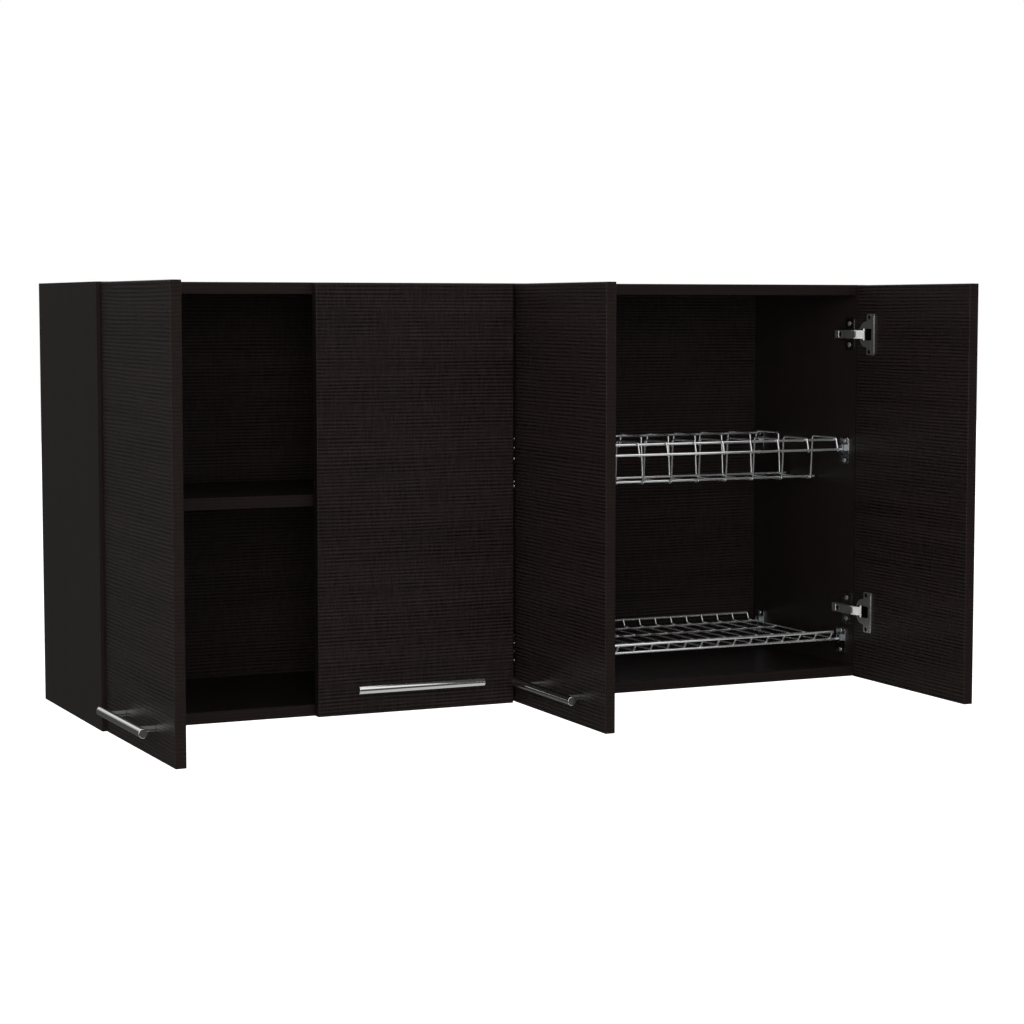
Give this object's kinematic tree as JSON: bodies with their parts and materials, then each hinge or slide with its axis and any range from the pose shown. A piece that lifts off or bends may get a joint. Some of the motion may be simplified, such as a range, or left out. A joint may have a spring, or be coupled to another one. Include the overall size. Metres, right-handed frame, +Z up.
{
  "type": "kitchen wall cabinet",
  "caption": "Wide wall cabinet with hinged doors on concealed hinges, bar handles, a shelf, and lift-out wire racks for plates and cups.",
  "frame": {"origin": "middle of the back panel's rear face, on the wall plane", "axes": "+X to the right seen from the front, +Y towards the wall, +Z up"},
  "size_m": [1.2507, 0.6086, 0.6],
  "materials": {
    "dark_wood_board": "espresso wood-grain laminate on board, slightly glossy",
    "back_board": "espresso wood-grain laminate on thin fibreboard",
    "satin_steel": "satin nickel plated bar",
    "nickel_steel": "nickel plated pressed steel",
    "bright_steel": "bright nickel plated pressed steel",
    "chrome_wire": "chrome plated welded wire",
    "zinc_plate": "zinc plated steel"
  },
  "bodies": {
    "carcass": {"left_side_panel": "dark_wood_board", "right_side_panel": "dark_wood_board", "top_panel": "dark_wood_board", "bottom_panel": "dark_wood_board", "centre_divider": "dark_wood_board", "shelf": "dark_wood_board", "back_panel": "back_board", "left_hanging_plate": "zinc_plate", "right_hanging_plate": "zinc_plate", "plate_rack_front_left_bracket": "zinc_plate", "plate_rack_front_right_bracket": "zinc_plate", "plate_rack_rear_left_bracket": "zinc_plate", "plate_rack_rear_right_bracket": "zinc_plate", "cup_rack_front_left_bracket": "zinc_plate", "cup_rack_front_right_bracket": "zinc_plate", "cup_rack_rear_left_bracket": "zinc_plate", "cup_rack_rear_right_bracket": "zinc_plate", "door_1_upper_hinge_plate": "nickel_steel", "door_1_upper_hinge_arm": "nickel_steel", "door_1_lower_hinge_plate": "nickel_steel", "door_1_lower_hinge_arm": "nickel_steel", "door_2_upper_hinge_plate": "nickel_steel", "door_2_upper_hinge_arm": "nickel_steel", "door_2_lower_hinge_plate": "nickel_steel", "door_2_lower_hinge_arm": "nickel_steel", "door_3_upper_hinge_plate": "nickel_steel", "door_3_upper_hinge_arm": "nickel_steel", "door_3_lower_hinge_plate": "nickel_steel", "door_3_lower_hinge_arm": "nickel_steel", "door_4_upper_hinge_plate": "nickel_steel", "door_4_upper_hinge_arm": "nickel_steel", "door_4_lower_hinge_plate": "nickel_steel", "door_4_lower_hinge_arm": "nickel_steel"},
    "door_1": {"door_1": "dark_wood_board", "door_1_handle": "satin_steel", "door_1_upper_hinge_cup": "nickel_steel", "door_1_lower_hinge_cup": "nickel_steel"},
    "door_1_links": {"door_1_upper_hinge_link": "bright_steel", "door_1_lower_hinge_link": "bright_steel"},
    "door_2": {"door_2": "dark_wood_board", "door_2_handle": "satin_steel", "door_2_upper_hinge_cup": "nickel_steel", "door_2_lower_hinge_cup": "nickel_steel"},
    "door_2_links": {"door_2_upper_hinge_link": "bright_steel", "door_2_lower_hinge_link": "bright_steel"},
    "door_3": {"door_3": "dark_wood_board", "door_3_handle": "satin_steel", "door_3_upper_hinge_cup": "nickel_steel", "door_3_lower_hinge_cup": "nickel_steel"},
    "door_3_links": {"door_3_upper_hinge_link": "bright_steel", "door_3_lower_hinge_link": "bright_steel"},
    "door_4": {"door_4": "dark_wood_board", "door_4_handle": "satin_steel", "door_4_upper_hinge_cup": "nickel_steel", "door_4_lower_hinge_cup": "nickel_steel"},
    "door_4_links": {"door_4_upper_hinge_link": "bright_steel", "door_4_lower_hinge_link": "bright_steel"},
    "plate_rack": {"plate_rack": "chrome_wire"},
    "cup_rack": {"cup_rack": "chrome_wire"}
  },
  "joints": [
    {"name": "door_1_hinge", "type": "hinge", "parent": "carcass", "child": "door_1", "pos_m": [-0.591, -0.319, 0], "axis": [0, 0, 1], "range_deg": [-15.5, 89.5]},
    {"name": "door_1_link_hinge", "type": "hinge", "parent": "carcass", "child": "door_1_links", "pos_m": [-0.575, -0.3156, 0], "axis": [0, 0, 1], "range_deg": [-17.82, 102.92]},
    {"name": "door_2_hinge", "type": "hinge", "parent": "carcass", "child": "door_2", "pos_m": [-0.009, -0.319, 0], "axis": [0, 0, 1], "range_deg": [0, 35]},
    {"name": "door_2_link_hinge", "type": "hinge", "parent": "carcass", "child": "door_2_links", "pos_m": [-0.025, -0.3156, 0], "axis": [0, 0, 1], "range_deg": [0, 40.25]},
    {"name": "door_3_hinge", "type": "hinge", "parent": "carcass", "child": "door_3", "pos_m": [0.009, -0.319, 0], "axis": [0, 0, 1], "range_deg": [-14, 91]},
    {"name": "door_3_link_hinge", "type": "hinge", "parent": "carcass", "child": "door_3_links", "pos_m": [0.025, -0.3156, 0], "axis": [0, 0, 1], "range_deg": [-16.1, 104.65]},
    {"name": "door_4_hinge", "type": "hinge", "parent": "carcass", "child": "door_4", "pos_m": [0.591, -0.319, 0], "axis": [0, 0, 1], "range_deg": [-89, 16]},
    {"name": "door_4_link_hinge", "type": "hinge", "parent": "carcass", "child": "door_4_links", "pos_m": [0.575, -0.3156, 0], "axis": [0, 0, 1], "range_deg": [-102.35, 18.4]},
    {"name": "plate_rack_lift", "type": "slide", "parent": "carcass", "child": "plate_rack", "axis": [0, 0, 1], "range_m": [0, 0.025]},
    {"name": "cup_rack_lift", "type": "slide", "parent": "carcass", "child": "cup_rack", "axis": [0, 0, 1], "range_m": [0, 0.025]}
  ],
  "couplings": [
    {"joint": "door_1_link_hinge", "follows": "door_1_hinge", "ratio": 1.15},
    {"joint": "door_2_link_hinge", "follows": "door_2_hinge", "ratio": 1.15},
    {"joint": "door_3_link_hinge", "follows": "door_3_hinge", "ratio": 1.15},
    {"joint": "door_4_link_hinge", "follows": "door_4_hinge", "ratio": 1.15}
  ]
}
